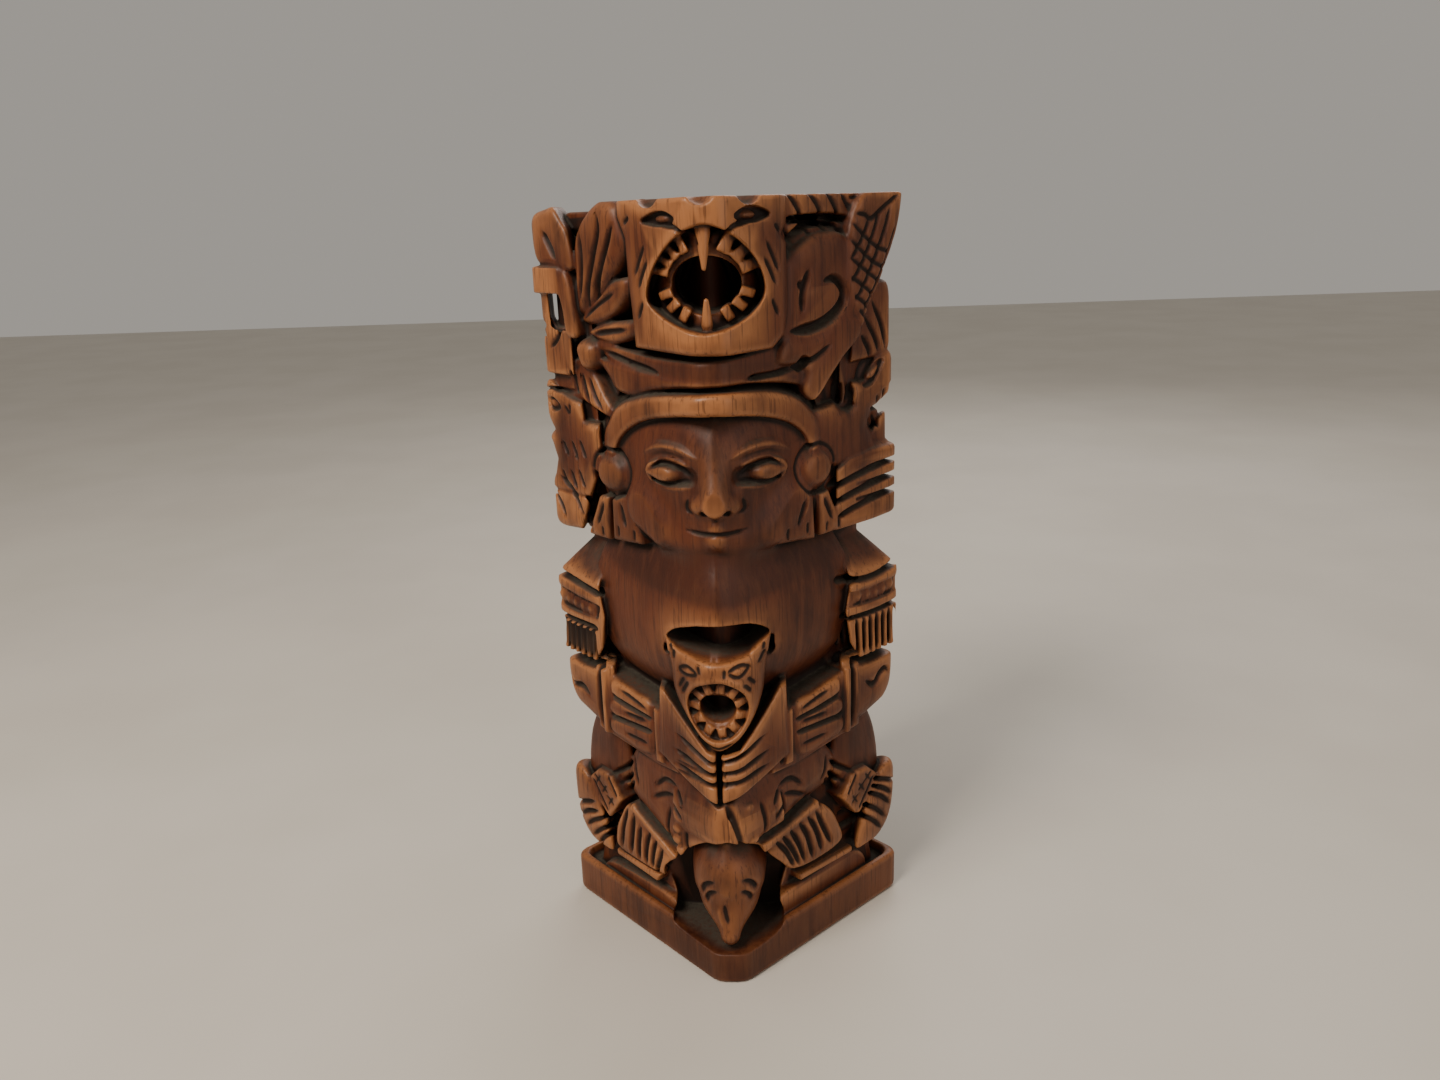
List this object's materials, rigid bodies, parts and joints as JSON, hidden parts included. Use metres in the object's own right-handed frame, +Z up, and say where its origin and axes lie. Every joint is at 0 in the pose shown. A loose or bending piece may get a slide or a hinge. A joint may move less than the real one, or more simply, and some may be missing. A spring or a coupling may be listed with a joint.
{
  "type": "carved totem statue",
  "caption": "Tall wooden statue carved from one square post set edge forward: a seated figure in a cat headdress, on a low base.",
  "frame": {"origin": "centre of the flat underside of the base, under the middle of the bounding box", "axes": "+Z up along the post, -Y towards the front edge that the figure faces, +X to the viewer's right"},
  "size_m": [0.143, 0.139, 0.3],
  "materials": {
    "stained_wood": "satin reddish-brown stain and wax, dark in the cuts and rubbed to tan on the raised surfaces"
  },
  "bodies": {
    "root": {"carved_totem": "stained_wood"}
  },
  "joints": []
}
